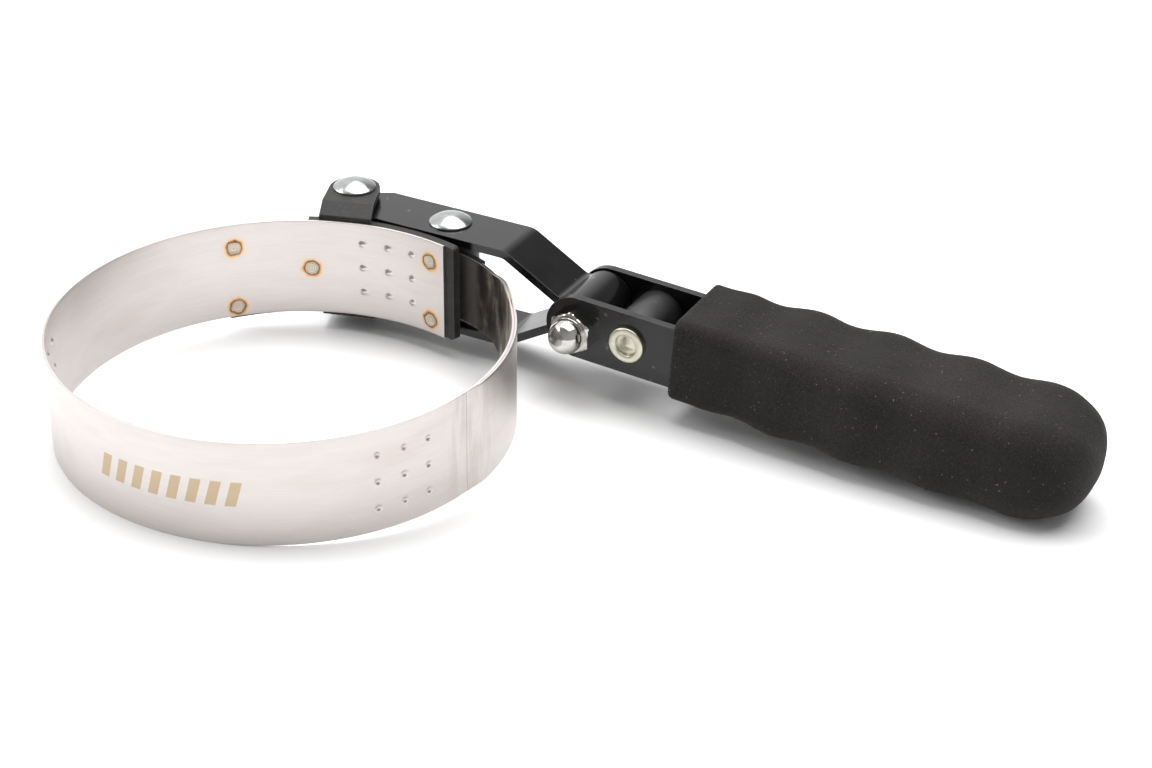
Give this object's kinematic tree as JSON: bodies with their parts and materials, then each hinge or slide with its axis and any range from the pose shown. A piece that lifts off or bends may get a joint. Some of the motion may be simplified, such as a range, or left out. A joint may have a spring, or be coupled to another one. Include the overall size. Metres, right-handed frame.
{
  "type": "oil filter wrench",
  "caption": "Strap wrench for spin-on oil filters: a steel ring closed by a swinging yoke, with a folding foam-grip handle.",
  "frame": {"origin": "on the ring axis at half the strap's height", "axes": "+Z along the ring axis, +X from the ring's yoke tip towards the handle, +Y from the ring towards the yoke"},
  "size_m": [0.2272, 0.132, 0.037],
  "materials": {
    "strap_steel": "stainless strip, brushed lengthwise, satin",
    "black_oxide": "rough black oxide, matt, slightly speckled",
    "black_paint": "semi-gloss black paint, a little worn at the edges",
    "bright_zinc": "bright zinc plate",
    "bright_nickel": "polished nickel plate",
    "yellow_zinc": "pale yellowish zinc plate",
    "foam": "matt black closed-cell foam, fine pores"
  },
  "bodies": {
    "fixed_end": {"grip_strap_fixed_end": "strap_steel", "tip_bracket": "black_oxide", "tip_rivet": "bright_zinc", "tip_rivet_sleeve": "black_paint"},
    "strap_left": {"grip_strap_left": "strap_steel"},
    "strap_front": {"grip_strap_front": "strap_steel"},
    "strap_free_end": {"grip_strap_free_end": "strap_steel", "free_end_doubler": "strap_steel", "free_end_bracket": "black_oxide"},
    "yoke": {"yoke": "black_paint", "free_end_rivet": "bright_zinc", "free_end_rivet_sleeve": "black_paint"},
    "handle": {"handle_frame": "black_paint", "pivot_bolt": "bright_zinc", "pivot_cap_nut": "bright_nickel", "front_spacer": "black_paint", "front_spacer_rivet": "yellow_zinc", "grip": "foam"}
  },
  "joints": [
    {"name": "yoke_swing", "type": "hinge", "parent": "fixed_end", "child": "yoke", "pos_m": [-0.0209, 0.0629, 0], "axis": [0, 0, 1], "range_deg": [0, 60]},
    {"name": "strap_flex_left", "type": "hinge", "parent": "fixed_end", "child": "strap_left", "pos_m": [-0.04564, 0.02635, 0], "axis": [0, 0, 1], "range_deg": [0, 14.1]},
    {"name": "strap_flex_front", "type": "hinge", "parent": "strap_left", "child": "strap_front", "pos_m": [0, -0.0527, 0], "axis": [0, 0, 1], "range_deg": [0, 21.1]},
    {"name": "strap_flex_right", "type": "hinge", "parent": "strap_front", "child": "strap_free_end", "pos_m": [0.03526, -0.03916, 0], "axis": [0, 0, 1], "range_deg": [-24.8, 0]},
    {"name": "handle_pivot", "type": "hinge", "parent": "yoke", "child": "handle", "pos_m": [0.04774, 0.0629, -0.00112], "axis": [0, 1, 0], "range_deg": [-93, 87]}
  ],
  "couplings": [
    {"joint": "strap_flex_left", "follows": "yoke_swing", "ratio": 0.2339},
    {"joint": "strap_flex_front", "follows": "yoke_swing", "ratio": 0.35},
    {"joint": "strap_flex_right", "follows": "yoke_swing", "ratio": -0.4118}
  ]
}
